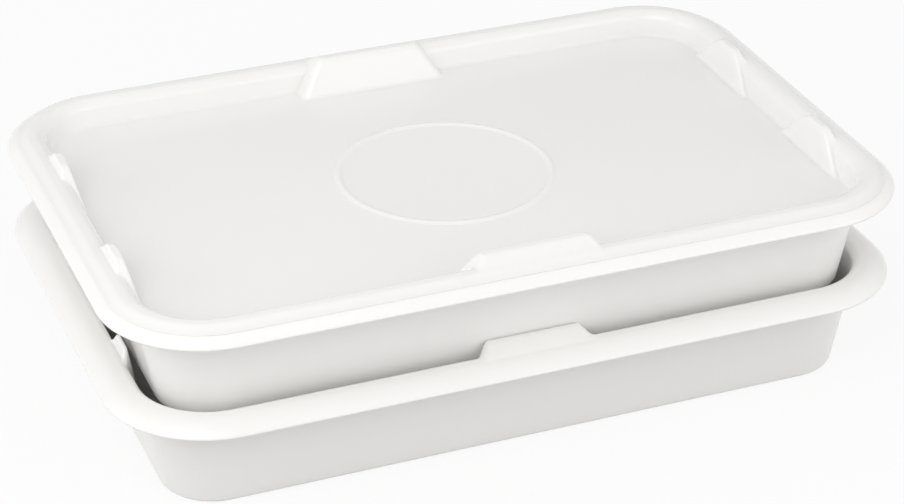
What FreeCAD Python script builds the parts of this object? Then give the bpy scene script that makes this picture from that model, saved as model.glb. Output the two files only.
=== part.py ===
"""Dough proofing container: two stacked moulded trays and a plug-in lid, in millimetres, +Z up.

The origin is the centre of the lower tray's base, on the surface that the stack stands on.
Every wall is a shell of even thickness. Its section is drawn once, with the distance in from the rim's
outer edge (the setback) across and the height above the tray's base up, and follows a rounded rectangle.
"""
import FreeCAD
import Part
import Sketcher
import math
import os

# Driving dimensions: alias, value in millimetres (slopes and draft in degrees)
SIZES = [
    ("length", 600),             # over the rims, left to right
    ("width", 400),              # over the rims, front to back
    ("corner_radius", 78),       # of the rim's outer edge, seen from above
    ("tray_height", 85),         # base to crown of the rim
    ("stack_pitch", 70),         # base of one tray to base of the next
    ("tray_wall", 3),
    ("draft", 10),               # lean of the walls from upright
    ("base_setback", 37.5),      # where the outer wall would meet the ground
    ("base_round", 4),           # outer radius of the bottom edge
    ("crown_outer_setback", 17),  # the crown is level between these two setbacks
    ("crown_inner_setback", 20),
    ("rim_radius", 22),          # of the rim's outer shoulder
    ("floor_lap", 10),           # how far the swept floor runs in past the base's edge
    ("lug_rise", 6.6),           # top of a tray's lug above the crown
    ("long_lug_outer", 27),      # setbacks of the lid lug's level top, on the long sides
    ("long_lug_inner", 35),
    ("long_lug_top", 84),        # length of that top
    ("long_lug_outer_slope", 60),  # leans of the outer face, the inner face and the ends from upright
    ("long_lug_slope", 25),
    ("long_lug_side_slope", 33),
    ("short_lug_outer", 25),     # the same on the short sides, where the inner face has the walls' draft
    ("short_lug_inner", 31),
    ("short_lug_top", 27),
    ("short_lug_outer_slope", 20),
    ("short_lug_side_slope", 48),
    ("short_lug_offset", 74),    # of the short sides' lugs from the middle
    ("seat_depth", 5.3),         # height of a lug's inner face below the level of the seat
    ("gusset_depth", 22),        # height of the gusset below that face
    ("nest_clearance", 0.5),     # between a tray and the lugs that it stands between
    ("lid_wall", 2),
    ("lid_clearance", 0.3),      # between the lid and the tray that it plugs into
    ("lid_edge_setback", 7.5),   # where the lid ends on the rim's shoulder
    ("lid_corner_round", 5),     # outer radius where the lid's wall turns into its panel
    ("panel_drop", 18),          # crown of the tray down to the top of the lid's panel
    ("ring_diameter", 159.4),    # middle line of the raised ring
    ("ring_width", 6),
    ("ring_height", 1.2),
]

doc = FreeCAD.newDocument("proofing_container")
sheet = doc.addObject("Spreadsheet::Sheet", "Sizes")
for row, (alias, amount) in enumerate(SIZES, start=1):
    sheet.set(f"A{row}", alias)
    sheet.set(f"B{row}", str(amount))
    sheet.setAlias(f"B{row}", alias)
doc.recompute()

# Expressions that several features share
TAN_DRAFT = "tan(Sizes.draft * 1deg)"
COS_DRAFT = "cos(Sizes.draft * 1deg)"
LID_CROWN = "Sizes.tray_height + Sizes.lid_clearance + Sizes.lid_wall"
LID_WALL_BASE = f"Sizes.base_setback + (Sizes.tray_wall + Sizes.lid_clearance) / {COS_DRAFT}"
LID_RIM_RADIUS = "Sizes.rim_radius + Sizes.lid_clearance + Sizes.lid_wall"
PANEL_TOP = "Sizes.tray_height - Sizes.panel_drop"
PANEL_UNDER = f"{PANEL_TOP} - Sizes.lid_wall"
FLOOR_END = "Sizes.base_setback + Sizes.floor_lap"
PANEL_END = f"{LID_WALL_BASE} + Sizes.floor_lap"
TRAY_LUG_TOP = "Sizes.tray_height + Sizes.lug_rise"
LID_LUG_TOP = f"{TRAY_LUG_TOP} + Sizes.lid_wall"
HALF_LENGTH = "Sizes.length / 2"
HALF_WIDTH = "Sizes.width / 2"
LONG_LUG = dict(outer="Sizes.long_lug_outer", inner="Sizes.long_lug_inner", top="Sizes.long_lug_top",
                outer_slope="Sizes.long_lug_outer_slope * 1deg", slope="Sizes.long_lug_slope * 1deg",
                side_slope="Sizes.long_lug_side_slope * 1deg")
SHORT_LUG = dict(outer="Sizes.short_lug_outer", inner="Sizes.short_lug_inner", top="Sizes.short_lug_top",
                 outer_slope="Sizes.short_lug_outer_slope * 1deg", slope="Sizes.draft * 1deg",
                 side_slope="Sizes.short_lug_side_slope * 1deg")


def value(expression):
    """The number that an expression over the sheet comes to."""
    result = sheet.evalExpression(expression)
    return float(getattr(result, "Value", result))


def origin_plane(body, role):
    return next(feature for feature in body.Origin.OriginFeatures if feature.Role == role)


def new_sketch(body, name, role, offset=None):
    """A sketch on one of the body's own origin planes, moved along its normal by an expression."""
    sketch = body.newObject("Sketcher::SketchObject", name)
    sketch.AttachmentSupport = (origin_plane(body, role), [""])
    sketch.MapMode = "FlatFace"
    if offset:
        sketch.setExpression("AttachmentOffset.Base.z", offset)
    return sketch


def drive(sketch, kind, places, expression):
    """Adds a dimension to a sketch and binds it to an expression."""
    index = sketch.addConstraint(Sketcher.Constraint(kind, *places, value(expression)))
    sketch.setExpression(f"Constraints[{index}]", expression)


def add_line(sketch, start, end):
    return sketch.addGeometry(Part.LineSegment(FreeCAD.Vector(*start, 0), FreeCAD.Vector(*end, 0)), False)


def add_arc(sketch, centre, start, end):
    """The shorter arc, a half circle turning left; gives its number and its ends at start and finish."""
    hub = FreeCAD.Vector(*centre, 0)
    first = math.atan2(start[1] - centre[1], start[0] - centre[0])
    last = math.atan2(end[1] - centre[1], end[0] - centre[0])
    turns_left = (last - first) % (2 * math.pi) < math.pi + 0.01
    angles = (first, last) if turns_left else (last, first)
    circle = Part.Circle(hub, FreeCAD.Vector(0, 0, 1), math.dist(centre, start))
    number = sketch.addGeometry(Part.ArcOfCircle(circle, *angles), False)
    return (number, 1, 2) if turns_left else (number, 2, 1)


def polygon(sketch, corners):
    """A closed outline of straight edges, each corner given by two expressions."""
    points = [(value(across), value(up)) for across, up in corners]
    edges = [add_line(sketch, point, points[(i + 1) % len(points)]) for i, point in enumerate(points)]
    for i, edge in enumerate(edges):
        sketch.addConstraint(Sketcher.Constraint("Coincident", edge, 2, edges[(i + 1) % len(edges)], 1))
        drive(sketch, "DistanceX", (-1, 1, edge, 1), corners[i][0])
        drive(sketch, "DistanceY", (-1, 1, edge, 1), corners[i][1])


def rounded_rectangle(sketch, setback):
    """The rim's outline drawn in by a setback; its right side is in two halves that meet on the X axis."""
    x = f"({HALF_LENGTH} - ({setback}))"
    y = f"({HALF_WIDTH} - ({setback}))"
    radius = f"Sizes.corner_radius - ({setback})"
    far, deep, bend = value(x), value(y), value(radius)
    stops = [(far, 0), (far, deep - bend), (far - bend, deep), (bend - far, deep), (-far, deep - bend),
             (-far, bend - deep), (bend - far, -deep), (far - bend, -deep), (far, bend - deep)]
    hubs = {1: (1, 1), 3: (-1, 1), 5: (-1, -1), 7: (1, -1)}
    pieces = []
    for i, stop in enumerate(stops):
        after = stops[(i + 1) % len(stops)]
        if i in hubs:
            side, end = hubs[i]
            pieces.append(add_arc(sketch, (side * (far - bend), end * (deep - bend)), stop, after))
        else:
            pieces.append((add_line(sketch, stop, after), 1, 2))
    for i, (number, start, end) in enumerate(pieces):
        follower, follower_start, follower_end = pieces[(i + 1) % len(pieces)]
        kind = "Tangent" if i < len(pieces) - 1 else "Coincident"
        sketch.addConstraint(Sketcher.Constraint(kind, number, end, follower, follower_start))
        if i in hubs:
            drive(sketch, "Radius", (number,), radius)
    right, top, left, bottom, right_again = (pieces[i][0] for i in (0, 2, 4, 6, 8))
    sketch.addConstraint(Sketcher.Constraint("PointOnObject", right, 1, -1))
    for edge in (right, right_again, left):
        sketch.addConstraint(Sketcher.Constraint("Vertical", edge))
    drive(sketch, "DistanceX", (-1, 1, right, 1), x)
    drive(sketch, "DistanceX", (left, 1, -1, 1), x)
    drive(sketch, "DistanceY", (-1, 1, top, 1), y)
    drive(sketch, "DistanceY", (bottom, 1, -1, 1), y)


def shell_section(sketch, crown, wall_base, floor, shell, rim, bottom_round, edge, floor_end):
    """The section of a tray or the lid on its right side: floor, wall, crown, rim and its rounded lip.

    Each argument is an expression: the crown's height, the setback where the wall's outer face would reach
    the base's level, the floor's underside, the shell's thickness, the rim's outer radius, the bottom
    edge's outer radius, the setback of the lip's edge, and the setback where the floor is cut off.
    """
    half = value(HALF_LENGTH)
    top, base, under, thick = value(crown), value(wall_base), value(floor), value(shell)
    radius, corner, lip, end = value(rim), value(bottom_round), value(edge), value(floor_end)
    land_out, land_in = value("Sizes.crown_outer_setback"), value("Sizes.crown_inner_setback")
    lean = math.radians(value("Sizes.draft"))
    sine, cosine, slope = math.sin(lean), math.cos(lean), math.tan(lean)

    # Hubs of the four bends, as setback and height
    inner = ((base - top * slope - land_in) * cosine + thick) / (1 - sine)
    bend = (land_in, top - inner)
    heel_height = under + corner
    heel = (base - heel_height * slope + corner / cosine, heel_height)
    shoulder = (land_out, top - radius)
    lip_setback = lip + thick / 2
    reach = radius - thick / 2
    lip_rise = math.sqrt(reach ** 2 - (land_out - lip_setback) ** 2)
    lip_hub = (lip_setback, shoulder[1] + lip_rise)
    outward = ((lip_setback - land_out) / reach, lip_rise / reach)

    def place(setback, height):
        return (half - setback, height)

    def on_bend(hub, distance):
        return place(hub[0] + distance * cosine, hub[1] + distance * sine)

    def on_heel(distance):
        return place(heel[0] - distance * cosine, heel[1] - distance * sine)

    def on_shoulder(distance):
        return place(shoulder[0] + distance * outward[0], shoulder[1] + distance * outward[1])

    pieces = []

    def straight(start, finish):
        pieces.append((add_line(sketch, start, finish), 1, 2))
        return pieces[-1][0]

    def curve(hub, start, finish):
        pieces.append(add_arc(sketch, place(*hub), start, finish))
        return pieces[-1][0]

    floor_under = straight(place(end, under), place(heel[0], under))
    heel_out = curve(heel, place(heel[0], under), on_heel(corner))
    wall_out = straight(on_heel(corner), on_bend(bend, inner - thick))
    curve(bend, on_bend(bend, inner - thick), place(land_in, top - thick))
    crown_under = straight(place(land_in, top - thick), place(land_out, top - thick))
    shoulder_under = curve(shoulder, place(land_out, top - thick), on_shoulder(radius - thick))
    lip_round = curve(lip_hub, on_shoulder(radius - thick), on_shoulder(radius))
    shoulder_top = curve(shoulder, on_shoulder(radius), place(land_out, top))
    crown_top = straight(place(land_out, top), place(land_in, top))
    curve(bend, place(land_in, top), on_bend(bend, inner))
    wall_in = straight(on_bend(bend, inner), on_heel(corner - thick))
    heel_in = curve(heel, on_heel(corner - thick), place(heel[0], under + thick))
    floor_top = straight(place(heel[0], under + thick), place(end, under + thick))
    cut_end = straight(place(end, under + thick), place(end, under))

    square_ends = (floor_top, cut_end)
    for i, (number, start, finish) in enumerate(pieces):
        follower, follower_start, follower_finish = pieces[(i + 1) % len(pieces)]
        kind = "Coincident" if number in square_ends else "Tangent"
        sketch.addConstraint(Sketcher.Constraint(kind, number, finish, follower, follower_start))
    for edge_line in (floor_under, crown_under, crown_top, floor_top):
        sketch.addConstraint(Sketcher.Constraint("Horizontal", edge_line))
    sketch.addConstraint(Sketcher.Constraint("Vertical", cut_end))
    sketch.addConstraint(Sketcher.Constraint("Parallel", wall_out, wall_in))

    # Where the wall's outer face, run down, meets the level of the base
    meeting = sketch.addGeometry(Part.Point(FreeCAD.Vector(half - base, 0, 0)), True)
    sketch.addConstraint(Sketcher.Constraint("PointOnObject", meeting, 1, -1))
    sketch.addConstraint(Sketcher.Constraint("PointOnObject", meeting, 1, wall_out))
    drive(sketch, "DistanceX", (-1, 1, meeting, 1), f"{HALF_LENGTH} - ({wall_base})")
    drive(sketch, "Angle", (wall_out,), "90deg - Sizes.draft * 1deg")
    drive(sketch, "Distance", (wall_in, 1, wall_out), shell)
    drive(sketch, "DistanceX", (-1, 1, crown_top, 1), f"{HALF_LENGTH} - Sizes.crown_outer_setback")
    drive(sketch, "DistanceX", (-1, 1, crown_top, 2), f"{HALF_LENGTH} - Sizes.crown_inner_setback")
    drive(sketch, "DistanceX", (-1, 1, crown_under, 1), f"{HALF_LENGTH} - Sizes.crown_inner_setback")
    drive(sketch, "DistanceX", (-1, 1, crown_under, 2), f"{HALF_LENGTH} - Sizes.crown_outer_setback")
    drive(sketch, "DistanceY", (-1, 1, crown_top, 1), crown)
    drive(sketch, "DistanceY", (-1, 1, crown_under, 1), f"({crown}) - ({shell})")
    drive(sketch, "Radius", (shoulder_top,), rim)
    drive(sketch, "Radius", (shoulder_under,), f"({rim}) - ({shell})")
    drive(sketch, "DistanceX", (-1, 1, lip_round, 3), f"{HALF_LENGTH} - ({edge}) - ({shell}) / 2")
    drive(sketch, "Radius", (heel_out,), bottom_round)
    drive(sketch, "Radius", (heel_in,), f"({bottom_round}) - ({shell})")
    drive(sketch, "DistanceY", (-1, 1, floor_top, 1), f"({floor}) + ({shell})")
    drive(sketch, "DistanceX", (-1, 1, cut_end, 1), f"{HALF_LENGTH} - ({floor_end})")
    if under > 0:
        drive(sketch, "DistanceY", (-1, 1, floor_under, 1), floor)
    else:
        sketch.addConstraint(Sketcher.Constraint("PointOnObject", floor_under, 1, -1))


def sweep_shell(body, **section):
    """The plate in the middle, then the section swept round it along the rim's outline."""
    plate_sketch = new_sketch(body, "plate_outline", "XY_Plane", section["floor"])
    rounded_rectangle(plate_sketch, f"({section['floor_end']}) - Sizes.floor_lap / 4")
    plate = body.newObject("PartDesign::Pad", "plate")
    plate.Profile = plate_sketch
    plate.setExpression("Length", section["shell"])
    path = new_sketch(body, "rim_path", "XY_Plane")
    rounded_rectangle(path, section["edge"])
    drawing = new_sketch(body, "shell_section", "XZ_Plane")
    shell_section(drawing, **section)
    doc.recompute()
    wall = body.newObject("PartDesign::AdditivePipe", "wall")
    wall.Profile = drawing
    wall.Spine = (path, [f"Edge{i + 1}" for i in range(len(path.Shape.Edges))])
    doc.recompute()


def mirrored(body, name, features, roles):
    """Copies of some features across one or two of the body's own planes."""
    mirrors = []
    pattern = body.newObject("PartDesign::MultiTransform", name)
    pattern.Originals = features
    for role in roles:
        mirror = body.newObject("PartDesign::Mirrored", f"{name}_{role[:2].lower()}")
        mirror.MirrorPlane = (origin_plane(body, role), [""])
        mirrors.append(mirror)
    pattern.Transformations = mirrors
    body.Tip = pattern
    doc.recompute()


def outer_face(sizes, height, inset):
    """Setback of a lug's outer face at a height, moved into the lug by an inset."""
    slope = sizes["outer_slope"]
    return f"{sizes['outer']} - ({LID_LUG_TOP} - ({height})) * tan({slope}) + ({inset}) / cos({slope})"


def inner_face(sizes, height, inset):
    slope = sizes["slope"]
    return f"{sizes['inner']} + ({LID_LUG_TOP} - ({height})) * tan({slope}) - ({inset}) / cos({slope})"


def half_span(sizes, height, inset):
    slope = sizes["side_slope"]
    return f"{sizes['top']} / 2 + ({LID_LUG_TOP} - ({height})) * tan({slope}) - ({inset}) / cos({slope})"


def nest_face(height):
    """Setback of the face that guides the next tray, parallel to that tray's wall."""
    return f"Sizes.base_setback - (({height}) - Sizes.stack_pitch) * {TAN_DRAFT} - Sizes.nest_clearance"


def mid_wall(height):
    """Setback of the middle of the tray's wall at a height."""
    return f"Sizes.base_setback - ({height}) * {TAN_DRAFT} + Sizes.tray_wall / 2 / {COS_DRAFT}"


def seat_steps(fit):
    """Corners of a long side's lug inside its top: guide face and seat for the next tray's base."""
    return [(nest_face(TRAY_LUG_TOP), TRAY_LUG_TOP), (nest_face("Sizes.stack_pitch"), "Sizes.stack_pitch"),
            (inner_face(LONG_LUG, "Sizes.stack_pitch", fit), "Sizes.stack_pitch")]


def tray_lug(body, name, role, half, sizes, offset, mirror_roles):
    """A lug on the crown with a gusset down to the wall; the long sides' lugs also have a seat."""
    fit = "Sizes.lid_wall + Sizes.lid_clearance"
    inside_crown = "Sizes.tray_height - Sizes.tray_wall * 0.8"
    seat_foot = "Sizes.stack_pitch - Sizes.seat_depth"
    gusset_foot = f"{seat_foot} - Sizes.gusset_depth"
    crown_root = "Sizes.tray_height - Sizes.tray_wall"
    brow = [(inner_face(sizes, TRAY_LUG_TOP, fit), TRAY_LUG_TOP)]
    corners = [
        (outer_face(sizes, "Sizes.tray_height", fit), inside_crown),
        (outer_face(sizes, "Sizes.tray_height", fit), "Sizes.tray_height"),
        (outer_face(sizes, TRAY_LUG_TOP, fit), TRAY_LUG_TOP),
        *(seat_steps(fit) if sizes is LONG_LUG else brow),
        (inner_face(sizes, seat_foot, fit), seat_foot),
        (mid_wall(gusset_foot), gusset_foot),
        (mid_wall(crown_root), crown_root),
    ]
    drawing = new_sketch(body, f"{name}_section", role, offset)
    polygon(drawing, [(f"{half} - ({setback})", height) for setback, height in corners])
    lug = body.newObject("PartDesign::Pad", name)
    lug.Profile = drawing
    lug.SideType = "Symmetric"
    lug.setExpression("Length", f"2 * ({half_span(sizes, TRAY_LUG_TOP, fit)})")
    doc.recompute()
    mirrored(body, f"{name}s", [lug], mirror_roles)


def tray(label, level):
    """One moulded tray with its base at a level given by an expression."""
    body = doc.addObject("PartDesign::Body", label)
    body.Label = label
    sweep_shell(body, crown="Sizes.tray_height", wall_base="Sizes.base_setback", floor="0",
                shell="Sizes.tray_wall", rim="Sizes.rim_radius", bottom_round="Sizes.base_round",
                edge="0", floor_end=FLOOR_END)
    tray_lug(body, "long_side_lug", "YZ_Plane", HALF_WIDTH, LONG_LUG, None, ["XZ_Plane"])
    tray_lug(body, "short_side_lug", "XZ_Plane", HALF_LENGTH, SHORT_LUG, "Sizes.short_lug_offset",
             ["XZ_Plane", "YZ_Plane"])
    body.setExpression("Placement.Base.z", level)
    return body


def plan_loft(body, kind, name, levels, along_x, half, middle):
    """A ruled body through level rectangles, each a height, two setbacks and half a length."""
    drawings = []
    for i, (height, near, far, reach) in enumerate(levels):
        drawing = new_sketch(body, f"{name}_level_{i}", "XY_Plane", height)
        across = [f"{middle} + {reach}", f"{middle} - ({reach})"]
        depth = [f"{half} - ({near})", f"{half} - ({far})"]
        corners = [(across[0], depth[0]), (across[1], depth[0]), (across[1], depth[1]), (across[0], depth[1])]
        polygon(drawing, corners if along_x else [(y, x) for x, y in corners])
        drawings.append(drawing)
    doc.recompute()
    loft = body.newObject(kind, name)
    loft.Profile = drawings[0]
    loft.Sections = drawings[1:]
    loft.Ruled = True
    doc.recompute()
    return loft


def lid_lug(body, name, sizes, along_x, half, middle, mirror_roles):
    """A hollow lug of the lid: a block with leaning faces, then the room in it for the tray's lug."""
    in_crown = f"{LID_CROWN} - Sizes.lid_wall / 2"
    mid_lid_wall = f"{LID_WALL_BASE} + Sizes.lid_wall / 2 / {COS_DRAFT}"
    bend_height = "Sizes.tray_height - Sizes.rim_radius / 4"
    bend_top = "Sizes.crown_inner_setback + Sizes.lid_wall * 1.75"
    thick = "Sizes.lid_wall"
    low, high = f"{PANEL_UNDER} - {thick}", f"{LID_CROWN} - {thick} / 4"
    tray_crown = f"{LID_CROWN} - {thick} - Sizes.lid_clearance"
    under_rim = "Sizes.crown_inner_setback" if sizes is LONG_LUG else outer_face(sizes, tray_crown, thick)

    def level(height, setback, inset):
        return (height, setback, inner_face(sizes, height, inset), half_span(sizes, height, inset))

    skirt = [level(height, setback, "0") for height, setback in (
        (PANEL_UNDER, f"{mid_lid_wall} - ({PANEL_UNDER}) * {TAN_DRAFT}"),
        (bend_height, f"{mid_lid_wall} - ({bend_height}) * {TAN_DRAFT}"),
        (in_crown, bend_top))]
    cap = [level(height, outer_face(sizes, height, "0"), "0") for height in (in_crown, LID_LUG_TOP)]
    room_below = [level(height, under_rim, thick) for height in (low, high)]
    room_above = [level(height, outer_face(sizes, height, thick), thick) for height in (tray_crown, TRAY_LUG_TOP)]
    place = dict(along_x=along_x, half=half, middle=middle)
    blocks = [plan_loft(body, "PartDesign::AdditiveLoft", f"{name}_skirt", skirt, **place),
              plan_loft(body, "PartDesign::AdditiveLoft", f"{name}_cap", cap, **place)]
    mirrored(body, f"{name}_blocks", blocks, mirror_roles)
    rooms = [plan_loft(body, "PartDesign::SubtractiveLoft", f"{name}_room_below", room_below, **place),
             plan_loft(body, "PartDesign::SubtractiveLoft", f"{name}_room_above", room_above, **place)]
    mirrored(body, f"{name}_rooms", rooms, mirror_roles)


def raised_ring(body):
    """A low ridge with leaning flanks, turned about the lid's middle."""
    root = f"{PANEL_TOP} - Sizes.lid_wall / 2"
    inner = "Sizes.ring_diameter / 2 - Sizes.ring_width / 2"
    outer = "Sizes.ring_diameter / 2 + Sizes.ring_width / 2"
    drawing = new_sketch(body, "ring_section", "XZ_Plane")
    polygon(drawing, [
        (inner, root), (outer, root), (outer, PANEL_TOP),
        (f"{outer} - Sizes.ring_width / 3", f"{PANEL_TOP} + Sizes.ring_height"),
        (f"{inner} + Sizes.ring_width / 3", f"{PANEL_TOP} + Sizes.ring_height"),
        (inner, PANEL_TOP)])
    ring = body.newObject("PartDesign::Revolution", "raised_ring")
    ring.Profile = drawing
    ring.ReferenceAxis = (drawing, ["V_Axis"])
    ring.Angle = 360
    doc.recompute()


def lid(label, level):
    """The lid, drawn in the frame of the tray that it closes."""
    body = doc.addObject("PartDesign::Body", label)
    body.Label = label
    sweep_shell(body, crown=LID_CROWN, wall_base=LID_WALL_BASE, floor=PANEL_UNDER, shell="Sizes.lid_wall",
                rim=LID_RIM_RADIUS, bottom_round="Sizes.lid_corner_round", edge="Sizes.lid_edge_setback",
                floor_end=PANEL_END)
    lid_lug(body, "long_side_lug", LONG_LUG, True, HALF_WIDTH, "0", ["XZ_Plane"])
    lid_lug(body, "short_side_lug", SHORT_LUG, False, HALF_LENGTH, "Sizes.short_lug_offset",
            ["XZ_Plane", "YZ_Plane"])
    raised_ring(body)
    body.setExpression("Placement.Base.z", level)
    return body


sub_parts = [
    tray("lower_tray", "0"),
    tray("upper_tray", "Sizes.stack_pitch"),
    lid("lid", "Sizes.stack_pitch"),
]
doc.recompute()

for item in doc.Objects:
    if "Invalid" in item.State or "Error" in item.State:
        raise RuntimeError(f"{item.Name} ({item.Label}) did not build: {item.State}")
for part in sub_parts:
    if part.Shape.isNull() or not part.Shape.isValid() or len(part.Shape.Solids) != 1:
        raise RuntimeError(f"{part.Label} is not one sound solid")

os.makedirs("parts", exist_ok=True)
for part in sub_parts:
    part.Shape.exportStep(f"parts/{part.Label}.step")
    box = part.Shape.BoundBox
    print(f"{part.Label}: {part.Shape.Volume / 1000:.1f} cm3, X {box.XMin:.2f} to {box.XMax:.2f}, "
          f"Y {box.YMin:.2f} to {box.YMax:.2f}, Z {box.ZMin:.2f} to {box.ZMax:.2f}")
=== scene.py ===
"""Dough proofing container: two stacked moulded trays under a plug-in lid, dressed for rendering.

Every piece is one moulding: a shell of even thickness whose section follows a rounded rectangle, with lugs
that rise out of its rim. Heights are given above the base of the tray that a section belongs to.
"""
import math

import bpy
import bmesh
import numpy as np
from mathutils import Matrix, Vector


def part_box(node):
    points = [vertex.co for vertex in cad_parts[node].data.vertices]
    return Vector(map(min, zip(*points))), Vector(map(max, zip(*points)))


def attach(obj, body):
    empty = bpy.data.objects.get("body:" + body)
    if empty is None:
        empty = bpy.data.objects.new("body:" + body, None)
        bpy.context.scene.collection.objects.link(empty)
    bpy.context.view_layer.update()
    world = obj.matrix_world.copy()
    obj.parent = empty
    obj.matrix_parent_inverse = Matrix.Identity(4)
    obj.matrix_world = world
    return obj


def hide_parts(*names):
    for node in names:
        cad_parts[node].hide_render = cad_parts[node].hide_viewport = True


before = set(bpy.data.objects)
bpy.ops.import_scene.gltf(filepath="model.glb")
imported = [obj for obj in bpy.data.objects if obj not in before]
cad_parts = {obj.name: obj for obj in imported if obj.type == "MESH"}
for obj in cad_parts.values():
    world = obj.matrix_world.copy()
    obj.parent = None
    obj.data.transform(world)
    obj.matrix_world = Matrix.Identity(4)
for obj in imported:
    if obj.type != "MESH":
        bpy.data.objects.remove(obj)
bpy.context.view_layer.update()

bl_info = {
    "name": "Dough proofing container",
    "version": (1, 0, 0),
    "blender": (4, 5, 0),
    "location": "View3D > Sidebar > Proofing",
    "description": "Builds two stacked dough trays and their lid, with materials, camera and light",
    "category": "Add Mesh",
}

MM = 0.001
TRAY_LOW, TRAY_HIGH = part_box("lower_tray")
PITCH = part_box("upper_tray")[0].z - TRAY_LOW.z
LID_LOW, LID_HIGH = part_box("lid")

# Distance between the stations of a mesh near the ends of its lugs
TRAY_STATIONS = 2.2 * MM
LID_STATIONS = 1.4 * MM

# Roughness of the plastic: the least and the most
TRAY_GLOSS = (0.24, 0.26)
LID_GLOSS = (0.18, 0.2)

# The studio: strength of the even light, half the side of the floor in metres, and for each lamp its azimuth
# and elevation in degrees, its distance and size in metres and its power in watts
EVEN_LIGHT = 0.7
FLOOR_HALF = 4.0
LAMPS = {
    "key": (45, 40, 1.8, 1.4, 9.5),
    "low_right": (-38, 12, 2.2, 2.4, 15),
    "low_left": (100, 12, 2.2, 1.6, 10),
}


def srgb(code):
    """Linear red, green and blue of a colour written as sRGB hex."""
    channels = [int(code[i:i + 2], 16) / 255 for i in (1, 3, 5)]
    return [c / 12.92 if c <= 0.04045 else ((c + 0.055) / 1.055) ** 2.4 for c in channels]


def length_property(name, description, millimetres):
    """A size whose default is given in millimetres."""
    return bpy.props.FloatProperty(name=name, description=description, default=millimetres * MM,
                                   unit="LENGTH", precision=5)


def angle_property(name, description, degrees):
    return bpy.props.FloatProperty(name=name, description=description, default=math.radians(degrees),
                                   subtype="ANGLE")


def colour_property(name, description, code):
    return bpy.props.FloatVectorProperty(name=name, description=description, default=srgb(code),
                                         subtype="COLOR", min=0, max=1)


class ProofingTraySizes(bpy.types.PropertyGroup):
    """Sizes that both trays share."""
    length: length_property("Length", "Over the rims, left to right", (TRAY_HIGH.x - TRAY_LOW.x) / MM)
    width: length_property("Width", "Over the rims, front to back", (TRAY_HIGH.y - TRAY_LOW.y) / MM)
    corner_radius: length_property("Corner radius", "Of the rim's outer edge, from above", 78)
    crown: length_property("Crown", "Height of the rim's level top", 85)
    wall: length_property("Wall", "Thickness of the moulding", 3)
    draft: angle_property("Draft", "Lean of the walls from upright", 10)
    base_setback: length_property("Base setback", "Where the outer wall would meet the ground", 37.5)
    base_round: length_property("Base round", "Outer radius of the bottom edge", 4)
    land_outer: length_property("Land, outer", "Setback where the level crown begins", 17)
    land_inner: length_property("Land, inner", "Setback where the level crown ends", 20)
    rim_radius: length_property("Rim radius", "Of the rim's outer shoulder", 22)


class ProofingLugSizes(bpy.types.PropertyGroup):
    """Sizes of the lugs that the trays and the lid share."""
    long_outer: length_property("Long, outer", "Setback of a lid lug's level top on the long sides", 27)
    long_inner: length_property("Long, inner", "Setback where that top ends", 35)
    long_top: length_property("Long, top", "Length of that top", 84)
    long_outer_slope: angle_property("Long, outer slope", "Lean of the outer face from upright", 60)
    long_slope: angle_property("Long, slope", "Lean of the inner face from upright", 25)
    long_side_slope: angle_property("Long, side slope", "Lean of the ends from upright", 33)
    short_outer: length_property("Short, outer", "Setback of a lid lug's level top on the short sides", 25)
    short_inner: length_property("Short, inner", "Setback where that top ends", 31)
    short_top: length_property("Short, top", "Length of that top", 27)
    short_outer_slope: angle_property("Short, outer slope", "Lean of the outer face from upright", 20)
    short_side_slope: angle_property("Short, side slope", "Lean of the ends from upright", 48)
    short_offset: length_property("Short, offset", "Short sides' lugs from the middle", 74)
    gusset: length_property("Gusset", "Height of the gusset under a lug", 22)
    nest: length_property("Nest clearance", "Room round the next tray", 0.5)
    soft_crest: length_property("Soft crest", "Rounding between a lug's top and its outer face", 1.2)
    soft_brow: length_property("Soft brow", "Rounding of the top's other edges", 5)
    soft_corner: length_property("Soft corner", "Rounding of a lug's upright edges", 12)
    soft_foot: length_property("Soft foot", "Rounding where a lug runs out", 2.5)
    soft_end: length_property("Soft end", "Length over which the ends of a tray's lug rise", 11)


class ProofingLidSizes(bpy.types.PropertyGroup):
    """Sizes of the lid."""
    wall: length_property("Wall", "Thickness of the moulding", 2)
    lip: length_property("Lip", "Thickness that its edge thins down to", 0.4)
    clearance: length_property("Clearance", "Between the lid and the tray under it", 0.3)
    lip_sink: length_property("Lip sink", "How far the edge bends down towards the tray", 0.18)
    edge: length_property("Edge", "Setback of the lid's edge on the rim", 7.5)
    corner_round: length_property("Corner round", "Where the wall turns into the panel", 5)
    ring_diameter: length_property("Ring diameter", "Middle line of the raised ring", 159.4)
    ring_width: length_property("Ring width", "Over the ring's flanks and the soft run-out at their feet", 8.5)
    ring_height: length_property("Ring height", "Above the panel", 1.2)


class ProofingFinish(bpy.types.PropertyGroup):
    """Tones of the white plastic and of the floor."""
    tray: colour_property("Tray", "Moulded white polypropylene of the trays", "#F4F3F1")
    lid: colour_property("Lid", "Moulded white polypropylene of the lid", "#F4F3F1")
    floor: colour_property("Floor", "Plain pale floor", "#F4F4F4")
    floor_bounce: colour_property("Floor bounce", "Tone of the light that the floor throws back", "#C4C4C4")


class ProofingView(bpy.types.PropertyGroup):
    """The camera's place."""
    lens: bpy.props.FloatProperty(name="Lens", description="Focal length", default=107.7,
                                  subtype="DISTANCE_CAMERA")
    distance: length_property("Distance", "Camera to the point that it looks at", 2053)
    elevation: angle_property("Elevation", "Camera above the horizon", 29.17)
    azimuth: angle_property("Azimuth", "Camera round from the front, towards the left", 21.54)
    aim_across: length_property("Aim across", "The point it looks at, to the right of the middle", 5.68)
    aim_height: length_property("Aim height", "The height of the point it looks at", 67.15)


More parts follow.
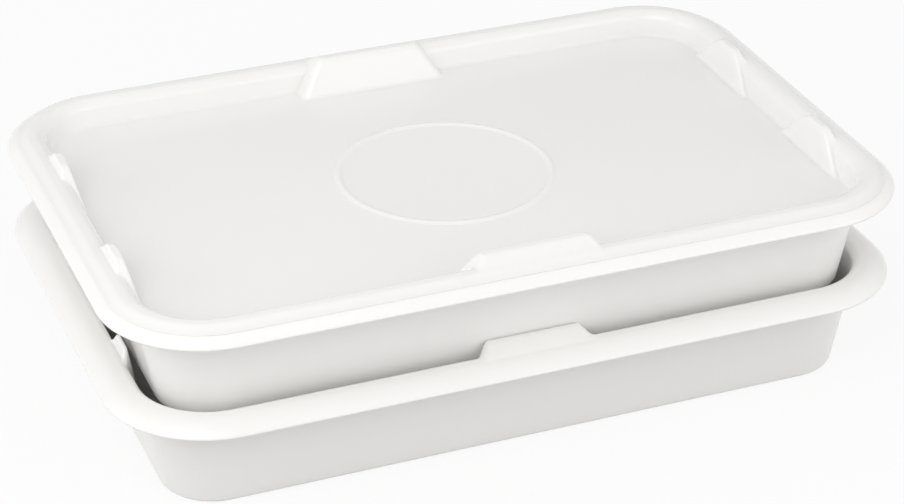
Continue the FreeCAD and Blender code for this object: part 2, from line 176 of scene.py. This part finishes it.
class ProofingSettings(bpy.types.PropertyGroup):
    """All settings of the container."""
    tray: bpy.props.PointerProperty(type=ProofingTraySizes)
    lug: bpy.props.PointerProperty(type=ProofingLugSizes)
    lid: bpy.props.PointerProperty(type=ProofingLidSizes)
    finish: bpy.props.PointerProperty(type=ProofingFinish)
    view: bpy.props.PointerProperty(type=ProofingView)


# Sections: lists of (setback, height)

def ease(share):
    """A share from 0 to 1 that starts and ends gently."""
    share = np.clip(share, 0, 1)
    return share * share * (3 - 2 * share)


def arc(hub, radius, start, end, steps, end_radius=None):
    """Points on an arc between two angles, 0 pointing inwards and a right angle pointing up."""
    shares = np.linspace(0, 1, steps + 1)
    grown = 0 if end_radius is None else end_radius - radius
    radii = radius + grown * ease(shares)
    angles = start + (end - start) * shares
    return [(hub[0] + r * math.cos(a), hub[1] + r * math.sin(a)) for r, a in zip(radii, angles)]


def line(start, end, steps):
    """Points from start to end, without its last point."""
    return [(start[0] + (end[0] - start[0]) * i / steps, start[1] + (end[1] - start[1]) * i / steps)
            for i in range(steps)]


class Section:
    """The two sides of a shell: under, from the floor out to the lip, and top, from the lip in to the floor."""

    def __init__(self, tray, crown, wall_base, floor, shell, lip, rim, bottom_round, edge, floor_end,
                 floor_steps, sink=0):
        lean = tray.draft
        up, right = math.pi / 2, math.pi
        sine, cosine, slope = math.sin(lean), math.cos(lean), math.tan(lean)
        inner = ((wall_base - crown * slope - tray.land_inner) * cosine + shell) / (1 - sine)
        bend = (tray.land_inner, crown - inner)
        heel_height = floor + bottom_round
        heel = (wall_base - heel_height * slope + bottom_round / cosine, heel_height)
        shoulder = (tray.land_outer, crown - rim)
        lip_under = rim - shell - sink
        reach = lip_under + lip / 2
        lip_setback = edge + lip / 2
        lip_rise = math.sqrt(reach ** 2 - (tray.land_outer - lip_setback) ** 2)
        lip_hub = (lip_setback, shoulder[1] + lip_rise)
        outward = math.atan2(lip_rise, lip_setback - tray.land_outer)
        floor_top = floor + shell

        heel_under = arc(heel, bottom_round, 3 * up, right + lean, 8)
        bend_under = arc(bend, inner - shell, lean, up, 12)
        shoulder_under = arc(shoulder, rim - shell, up, outward, 16, lip_under)
        lip_round = arc(lip_hub, lip / 2, outward + right, outward, 10)
        self.under = [
            *line((floor_end, floor), heel_under[0], floor_steps),
            *heel_under[:-1], *line(heel_under[-1], bend_under[0], 16),
            *bend_under[:-1], *line(bend_under[-1], shoulder_under[0], 4),
            *shoulder_under[:-1], *lip_round[:6]]
        shoulder_top = arc(shoulder, lip_under + lip, outward, up, 16, rim)
        bend_top = arc(bend, inner, up, lean, 18)
        heel_top = arc(heel, bottom_round - shell, right + lean, 3 * up, 10)
        self.top = [
            *lip_round[6:-1], *shoulder_top[:-1],
            *line(shoulder_top[-1], bend_top[0], 4), *bend_top[:-1],
            *line(bend_top[-1], heel_top[0], 20), *heel_top[:-1],
            *line(heel_top[-1], (floor_end, floor_top), floor_steps), (floor_end, floor_top)]


class LugKind:
    """Sizes of the lugs on two facing sides: the lid lug's level top, and the leans of its faces."""

    def __init__(self, outer, inner, top, outer_slope, slope, side_slope):
        self.outer, self.inner, self.half = outer, inner, top / 2
        self.outer_slope, self.slope, self.side_slope = outer_slope, slope, side_slope

    def outer_face(self, drop, inset):
        """Setback of the outer face at a drop below the lid lug's top, moved into the lug by an inset."""
        return self.outer - drop * math.tan(self.outer_slope) + inset / math.cos(self.outer_slope)

    def inner_face(self, drop, inset):
        return self.inner + drop * math.tan(self.slope) - inset / math.cos(self.slope)

    def half_span(self, drop, inset):
        return self.half + drop * math.tan(self.side_slope) - inset / math.cos(self.side_slope)


def lug_kinds(settings):
    """The lugs of the long sides and those of the short sides, whose inner faces have the walls' draft."""
    lug = settings.lug
    return (LugKind(lug.long_outer, lug.long_inner, lug.long_top, lug.long_outer_slope, lug.long_slope,
                    lug.long_side_slope),
            LugKind(lug.short_outer, lug.short_inner, lug.short_top, lug.short_outer_slope, settings.tray.draft,
                    lug.short_side_slope))


# The rim's outline, walked anticlockwise from the right-hand side

def side_stops(half, marks, fine, step=6 * MM, reach=26 * MM):
    """Places along a straight side: even steps, with fine ones on both sides of each mark."""
    stops = set(np.round(np.linspace(-half, half, int(2 * half / step) + 1), 6))
    for mark in marks:
        stops |= set(np.round(np.arange(mark - reach, mark + reach, fine), 6))
    kept = sorted(s for s in stops if -half <= s <= half)
    return [s for i, s in enumerate(kept) if i == 0 or s - kept[i - 1] > fine / 3]


def outline(tray, lug, fine, corner_steps=24):
    """Stations round the rim: x, y, outward x and y, distance from a lug's middle, on a short side or not."""
    far, deep, bend = tray.length / 2, tray.width / 2, tray.corner_radius
    far_from_lugs = 1.0
    lug_end = 12 * MM
    long_half, short_half = lug.long_top / 2, lug.short_top / 2
    long_marks = [side * (long_half + lug_end) for side in (-1, 1)]
    short_marks = [side * lug.short_offset + end * (short_half + lug_end)
                   for side in (-1, 1) for end in (-1, 1)]
    long_stops = side_stops(far - bend, long_marks, fine)
    short_stops = side_stops(deep - bend, short_marks, fine)
    turns = np.linspace(0, math.pi / 2, corner_steps + 1)[1:-1]
    stations = []
    for quarter in range(4):
        angle = quarter * math.pi / 2
        normal = (round(math.cos(angle)), round(math.sin(angle)))
        on_short = quarter % 2 == 0
        reach = far if on_short else deep
        for stop in short_stops if on_short else long_stops:
            place = (normal[0] * reach - normal[1] * stop, normal[1] * reach + normal[0] * stop)
            along = abs(abs(stop) - lug.short_offset) if on_short else abs(stop)
            stations.append((*place, *normal, along, on_short))
        hub = ((far - bend) * (1 if quarter in (0, 3) else -1), (deep - bend) * (1 if quarter < 2 else -1))
        for turn in turns:
            out = (math.cos(angle + turn), math.sin(angle + turn))
            stations.append((hub[0] + bend * out[0], hub[1] + bend * out[1], *out, far_from_lugs, False))
    return np.array(stations)


def smooth_max(a, b, soft):
    """The larger of two heights, with the crease between them rounded over."""
    share = np.clip(0.5 + 0.5 * (a - b) / soft, 0, 1)
    return b + (a - b) * share + soft * share * (1 - share)


def smooth_min(a, b, soft):
    """The smaller of two heights, in the same way."""
    return -smooth_max(-a, -b, soft)


def block_height(lug, kind, top, setbacks, along, inset):
    """Height of a lid lug's leaning faces over the plan, each face moved in by an inset."""
    def face(distance, slope):
        return top - inset / math.sin(slope) + distance / math.tan(slope)
    level = np.full(np.broadcast(setbacks, along).shape, top - inset)
    outer = face(setbacks - kind.outer, kind.outer_slope)
    inner = face(kind.inner - setbacks, kind.slope)
    ends = face(kind.half - along, kind.side_slope)
    cap = smooth_min(level, outer, lug.soft_crest)
    return smooth_min(cap, smooth_min(inner, ends, lug.soft_corner), lug.soft_brow)


def rounded(corners, radius, steps=5):
    """An open line through corners, each turn in it rounded by a short curve."""
    points = [np.array(corner) for corner in corners]
    line_points = [points[0]]
    for before, corner, after in zip(points, points[1:], points[2:]):
        back, on = before - corner, after - corner
        cut = min(radius, np.linalg.norm(back) / 2.2, np.linalg.norm(on) / 2.2)
        start = corner + back / np.linalg.norm(back) * cut
        end = corner + on / np.linalg.norm(on) * cut
        for t in np.linspace(0, 1, steps):
            line_points.append((1 - t) ** 2 * start + 2 * t * (1 - t) * corner + t ** 2 * end)
    return np.array([*line_points, points[-1]])


def resampled(points, count):
    """The same line with a number of points at even distances."""
    points = np.array(points)
    run = np.concatenate([[0], np.cumsum(np.linalg.norm(np.diff(points, axis=0), axis=1))])
    places = np.linspace(0, run[-1], count)
    return np.column_stack([np.interp(places, run, points[:, k]) for k in (0, 1)])


# Meshes

def shell_mesh(name, stations, under, top, level, ring=()):
    """A closed mesh from the two sides of a shell, each an array of (setback, height) for every station.

    The ring is a list of (radius, height) that the floor's top runs through on its way to the middle.
    """
    sides = np.concatenate([under, top], axis=1)
    count, rows = sides.shape[:2]
    x = stations[:, None, 0] - stations[:, None, 2] * sides[:, :, 0]
    y = stations[:, None, 1] - stations[:, None, 3] * sides[:, :, 0]
    z = sides[:, :, 1] + level
    points = np.stack([x, y, z], axis=-1).reshape(-1, 3).tolist()
    faces = []
    for i in range(count):
        j = (i + 1) % count
        for k in range(rows - 1):
            faces.append((i * rows + k, i * rows + k + 1, j * rows + k + 1, j * rows + k))
    faces.append([i * rows for i in range(count)])
    edge = [i * rows + rows - 1 for i in range(count)]
    angles = [math.atan2(points[i][1], points[i][0]) for i in edge]
    for radius, height in ring:
        loop = range(len(points), len(points) + count)
        points += [(radius * math.cos(a), radius * math.sin(a), height + level) for a in angles]
        faces += [(edge[i - 1], loop[i - 1], loop[i], edge[i]) for i in range(count)]
        edge = loop
    faces.append(list(edge))
    mesh = bpy.data.meshes.new(name)
    mesh.from_pydata(points, [], faces)
    work = bmesh.new()
    work.from_mesh(mesh)
    bmesh.ops.recalc_face_normals(work, faces=work.faces)
    work.to_mesh(mesh)
    work.free()
    mesh.shade_smooth()
    piece = bpy.data.objects.new(name, mesh)
    bpy.context.scene.collection.objects.link(piece)
    return piece


def repeated(points, count):
    """The same line of points at each of a number of stations."""
    return np.repeat(np.array(points)[None], count, axis=0)


def tray_piece(settings, name, level):
    """A tray: its plain shell, drawn out into a lug with a seat and a gusset at six places of the rim."""
    tray, lug, lid = settings.tray, settings.lug, settings.lid
    stations = outline(tray, lug, TRAY_STATIONS)
    count = len(stations)
    floor_lap = 10 * MM
    section = Section(tray, tray.crown, tray.base_setback, 0, tray.wall, tray.wall, tray.rim_radius,
                      tray.base_round, 0, tray.base_setback + floor_lap, floor_steps=3)
    slope = math.tan(tray.draft)
    lug_top = TRAY_HIGH.z
    fit = lid.wall + lid.clearance

    def drop(height):
        return LID_HIGH.z - PITCH - height

    def nest(height):
        return tray.base_setback - (height - PITCH) * slope - lug.nest

    def inside_wall(height):
        return tray.base_setback - height * slope + tray.wall / math.cos(tray.draft)

    gusset_top = LID_LOW.z - PITCH - lid.clearance
    gusset_foot = gusset_top - lug.gusset
    long_lug, short_lug = lug_kinds(settings)
    top = np.array(section.top)
    lug_start = long_lug.outer_face(drop(tray.crown), fit) - 2 * MM
    first = next(i for i, point in enumerate(top) if point[0] >= lug_start)
    last = next(i for i, point in enumerate(top) if i > first and point[1] <= gusset_foot)
    edge_round, rows = 3 * MM, 56
    plain = resampled([*top[first:last], (inside_wall(gusset_foot), gusset_foot)], rows)
    seat = [(nest(lug_top), lug_top), (nest(PITCH), PITCH), (long_lug.inner_face(drop(PITCH), fit), PITCH)]
    brow = [(short_lug.inner_face(drop(lug_top), fit), lug_top)]

    def drawn_out(kind, steps):
        """The plain line, drawn out over the steps of a lug at the stations where there is one."""
        outer_foot = kind.outer_face(drop(tray.crown), fit)
        crown = [point for point in top[first:last] if point[0] < outer_foot and point[1] > gusset_top]
        raised = resampled(rounded([
            *crown, (kind.outer_face(drop(lug_top), fit), lug_top), *steps,
            (kind.inner_face(drop(gusset_top), fit), gusset_top), (inside_wall(gusset_foot), gusset_foot)],
            edge_round), rows)
        foot = kind.half_span(drop(tray.crown), fit)
        share = ease((foot - stations[:, 4]) / lug.soft_end)[:, None, None]
        return repeated(plain, count) * (1 - share) + repeated(raised, count) * share

    on_short = stations[:, 5, None, None] > 0
    drawn = np.where(on_short, drawn_out(short_lug, brow), drawn_out(long_lug, seat))
    top_side = np.concatenate([repeated(top[:first], count), drawn, repeated(top[last:], count)], axis=1)
    return shell_mesh(name, stations, repeated(section.under, count), top_side, level)


def lid_piece(settings, name, level):
    """The lid: its plain shell, raised into hollow lugs, with the ring on its panel."""
    tray, lug, lid = settings.tray, settings.lug, settings.lid
    stations = outline(tray, lug, LID_STATIONS)
    count = len(stations)
    wall_base = tray.base_setback + (tray.wall + lid.clearance) / math.cos(tray.draft)
    floor_lap = 14 * MM
    panel_under = LID_LOW.z - PITCH
    panel_top = panel_under + lid.wall
    lug_top = LID_HIGH.z - PITCH
    rise = lid.clearance + lid.wall
    section = Section(tray, tray.crown + rise, wall_base, panel_under, lid.wall, lid.lip,
                      tray.rim_radius + rise, lid.corner_round, lid.edge, wall_base + floor_lap,
                      floor_steps=24, sink=lid.lip_sink)
    along, on_short = stations[:, 4, None], stations[:, 5, None] > 0

    def raise_side(points, inset):
        """One side of the shell, raised over the lugs whose faces are moved in by an inset."""
        side = repeated(points, count)
        long_block, short_block = (block_height(lug, kind, lug_top, side[:, :, 0], along, inset)
                                   for kind in lug_kinds(settings))
        block = np.where(on_short, short_block, long_block)
        side[:, :, 1] = smooth_max(side[:, :, 1], block, lug.soft_foot)
        return side

    middle, flank = lid.ring_diameter / 2, lid.ring_width / 2
    ring = [(middle + flank * t, panel_top + lid.ring_height * math.cos(t * math.pi / 2) ** 2)
            for t in np.linspace(1, -1, 17)]
    under, top = raise_side(section.under, lid.wall), raise_side(section.top, 0)
    return shell_mesh(name, stations, under, top, level, ring)


# Materials

def add_node(tree, kind, links=None, **settings):
    """Adds a node, sets its attributes, and links or sets its inputs by name."""
    made = tree.nodes.new(kind)
    for key, setting in settings.items():
        setattr(made, key, setting)
    for key, source in (links or {}).items():
        if isinstance(source, bpy.types.NodeSocket):
            tree.links.new(source, made.inputs[key])
        else:
            made.inputs[key].default_value = source
    return made


def new_material(name):
    """A material with an empty node tree, and that tree."""
    material = bpy.data.materials.new(name)
    material.use_nodes = True
    material.node_tree.nodes.clear()
    return material, material.node_tree


def moulded_polypropylene(name, colour, gloss_range):
    """White polypropylene, injection moulded in a polished tool: milky, with a soft gloss.

    The light goes a few millimetres in, so edges look soft. The skin has a faint orange peel, the gloss is
    a little uneven where it has been wiped, and the tone drifts slightly with the flow of the melt.
    """
    flow_size, peel_size, wipe_size = 220 * MM, 2.4 * MM, 90 * MM
    drift = 0.992
    material, tree = new_material(name)
    place = add_node(tree, "ShaderNodeTexCoord").outputs["Object"]
    flow = add_node(tree, "ShaderNodeTexNoise", {"Vector": place, "Scale": 1 / flow_size, "Detail": 1.0})
    tone = add_node(tree, "ShaderNodeValToRGB", {"Fac": flow.outputs["Fac"]})
    tone.color_ramp.interpolation = "EASE"
    tone.color_ramp.elements[0].position = 0.3
    tone.color_ramp.elements[0].color = (*[c * drift for c in colour], 1)
    tone.color_ramp.elements[1].position = 0.7
    tone.color_ramp.elements[1].color = (*colour, 1)
    wipe = add_node(tree, "ShaderNodeTexNoise", {"Vector": place, "Scale": 1 / wipe_size, "Detail": 1.0})
    gloss = add_node(tree, "ShaderNodeMapRange", {
        "Value": wipe.outputs["Fac"], "From Min": 0.3, "From Max": 0.7,
        "To Min": gloss_range[0], "To Max": gloss_range[1]})
    peel = add_node(tree, "ShaderNodeTexNoise", {"Vector": place, "Scale": 1 / peel_size, "Detail": 1.0})
    skin = add_node(tree, "ShaderNodeBump", {
        "Height": peel.outputs["Fac"], "Strength": 0.05, "Distance": 0.1 * MM})
    shader = add_node(tree, "ShaderNodeBsdfPrincipled", {
        "Base Color": tone.outputs["Color"], "Roughness": gloss.outputs["Result"],
        "Normal": skin.outputs["Normal"], "IOR": 1.49, "Subsurface Weight": 0.15,
        "Subsurface Radius": (1.0, 0.95, 0.9), "Subsurface Scale": 4 * MM})
    add_node(tree, "ShaderNodeOutputMaterial", {"Surface": shader.outputs["BSDF"]})
    return material


def pale_floor(seen_colour, bounce_colour):
    """A plain pale floor: white to the eye, with the container's shadow on it, and a duller bounce."""
    shine = 0.85  # share of plain white in what the eye sees of it
    material, tree = new_material("pale_floor")
    ray = add_node(tree, "ShaderNodeLightPath")
    seen = add_node(tree, "ShaderNodeMath", {
        0: ray.outputs["Is Camera Ray"], 1: ray.outputs["Is Glossy Ray"]}, operation="MAXIMUM")
    through = add_node(tree, "ShaderNodeMath", {
        0: seen.outputs["Value"], 1: ray.outputs["Is Transmission Ray"]}, operation="MAXIMUM")
    shade = add_node(tree, "ShaderNodeMixRGB", {
        "Fac": through.outputs["Value"], "Color1": (*bounce_colour, 1), "Color2": (*seen_colour, 1)})
    matte = add_node(tree, "ShaderNodeBsdfDiffuse", {"Color": shade.outputs["Color"]})
    glow = add_node(tree, "ShaderNodeEmission", {"Color": (1, 1, 1, 1), "Strength": 1.0})
    amount = add_node(tree, "ShaderNodeMath", {0: through.outputs["Value"], 1: shine}, operation="MULTIPLY")
    mix = add_node(tree, "ShaderNodeMixShader", {
        "Fac": amount.outputs["Value"], 1: matte.outputs["BSDF"], 2: glow.outputs["Emission"]})
    add_node(tree, "ShaderNodeOutputMaterial", {"Surface": mix.outputs["Shader"]})
    return material


def dress(piece, node, material):
    """Gives a piece its material and lets it stand for a node of the frame, on that node's body."""
    piece.data.materials.append(material)
    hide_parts(node)
    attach(piece, node)


class ProofingTrays(bpy.types.Operator):
    """Build the lower and the upper tray"""
    bl_idname = "proofing.trays"
    bl_label = "Trays"

    def execute(self, context):
        settings = context.scene.proofing
        plastic = moulded_polypropylene("tray_moulded_polypropylene", settings.finish.tray, TRAY_GLOSS)
        for node, level in (("lower_tray", 0.0), ("upper_tray", PITCH)):
            dress(tray_piece(settings, f"{node}_moulding", level), node, plastic)
        return {"FINISHED"}


class ProofingLid(bpy.types.Operator):
    """Build the lid"""
    bl_idname = "proofing.lid"
    bl_label = "Lid"

    def execute(self, context):
        settings = context.scene.proofing
        plastic = moulded_polypropylene("lid_moulded_polypropylene", settings.finish.lid, LID_GLOSS)
        dress(lid_piece(settings, "lid_moulding", PITCH), "lid", plastic)
        return {"FINISHED"}


def swung(azimuth, elevation, distance):
    """A place at a distance, swung from the front towards the left by an azimuth, and raised."""
    level = distance * math.cos(elevation)
    return Vector((-level * math.sin(azimuth), -level * math.cos(azimuth), distance * math.sin(elevation)))


def aimed(thing, place, aim):
    """Puts a lamp or the camera at a place, looking at a point."""
    thing.location = place
    thing.rotation_euler = (aim - place).to_track_quat("-Z", "Y").to_euler()
    bpy.context.scene.collection.objects.link(thing)


def soft_light(name, azimuth, elevation, distance, size, power):
    """A round soft box at angles in degrees about the container's middle."""
    data = bpy.data.lights.new(name, "AREA")
    data.shape = "DISK"
    data.size = size
    data.energy = power
    middle = Vector((0, 0, 0.1))
    place = middle + swung(math.radians(azimuth), math.radians(elevation), distance)
    aimed(bpy.data.objects.new(name, data), place, middle)


class ProofingStage(bpy.types.Operator):
    """Set up the floor, the light and the camera"""
    bl_idname = "proofing.stage"
    bl_label = "Stage"

    def execute(self, context):
        settings = context.scene.proofing
        scene = context.scene
        scene.view_settings.view_transform = "Standard"

        under_base = -0.1 * MM
        corners = [(x * FLOOR_HALF, y * FLOOR_HALF, under_base)
                   for x, y in ((-1, -1), (1, -1), (1, 1), (-1, 1))]
        mesh = bpy.data.meshes.new("floor")
        mesh.from_pydata(corners, [], [(0, 1, 2, 3)])
        floor = bpy.data.objects.new("floor", mesh)
        floor.data.materials.append(pale_floor(settings.finish.floor, settings.finish.floor_bounce))
        scene.collection.objects.link(floor)

        world = bpy.data.worlds.new("studio")
        scene.world = world
        world.use_nodes = True
        world.node_tree.nodes.clear()
        air = add_node(world.node_tree, "ShaderNodeBackground", {"Color": (1, 1, 1, 1), "Strength": EVEN_LIGHT})
        add_node(world.node_tree, "ShaderNodeOutputWorld", {"Surface": air.outputs["Background"]})

        for name, lamp in LAMPS.items():
            soft_light(name, *lamp)

        view = settings.view
        aim = Vector((view.aim_across, 0, view.aim_height))
        data = bpy.data.cameras.new("camera")
        data.lens = view.lens
        data.sensor_width = 36
        camera = bpy.data.objects.new("camera", data)
        aimed(camera, aim + swung(view.azimuth, view.elevation, view.distance), aim)
        scene.camera = camera
        return {"FINISHED"}


class ProofingPanel(bpy.types.Panel):
    """The container's sizes and its steps"""
    bl_idname = "VIEW3D_PT_proofing"
    bl_label = "Proofing container"
    bl_space_type = "VIEW_3D"
    bl_region_type = "UI"
    bl_category = "Proofing"

    def draw(self, context):
        settings = context.scene.proofing
        for group in (settings.tray, settings.lug, settings.lid, settings.finish, settings.view):
            box = self.layout.box()
            for key in group.bl_rna.properties.keys():
                if key not in ("name", "rna_type"):
                    box.prop(group, key)
        for operator in (ProofingTrays, ProofingLid, ProofingStage):
            self.layout.operator(operator.bl_idname)


CLASSES = (ProofingTraySizes, ProofingLugSizes, ProofingLidSizes, ProofingFinish, ProofingView,
           ProofingSettings, ProofingTrays, ProofingLid, ProofingStage, ProofingPanel)


def register():
    for kind in CLASSES:
        bpy.utils.register_class(kind)
    bpy.types.Scene.proofing = bpy.props.PointerProperty(type=ProofingSettings)


def unregister():
    del bpy.types.Scene.proofing
    for kind in reversed(CLASSES):
        bpy.utils.unregister_class(kind)


def main():
    register()
    bpy.ops.proofing.trays()
    bpy.ops.proofing.lid()
    bpy.ops.proofing.stage()
    bpy.context.view_layer.update()


if __name__ == "__main__":
    main()
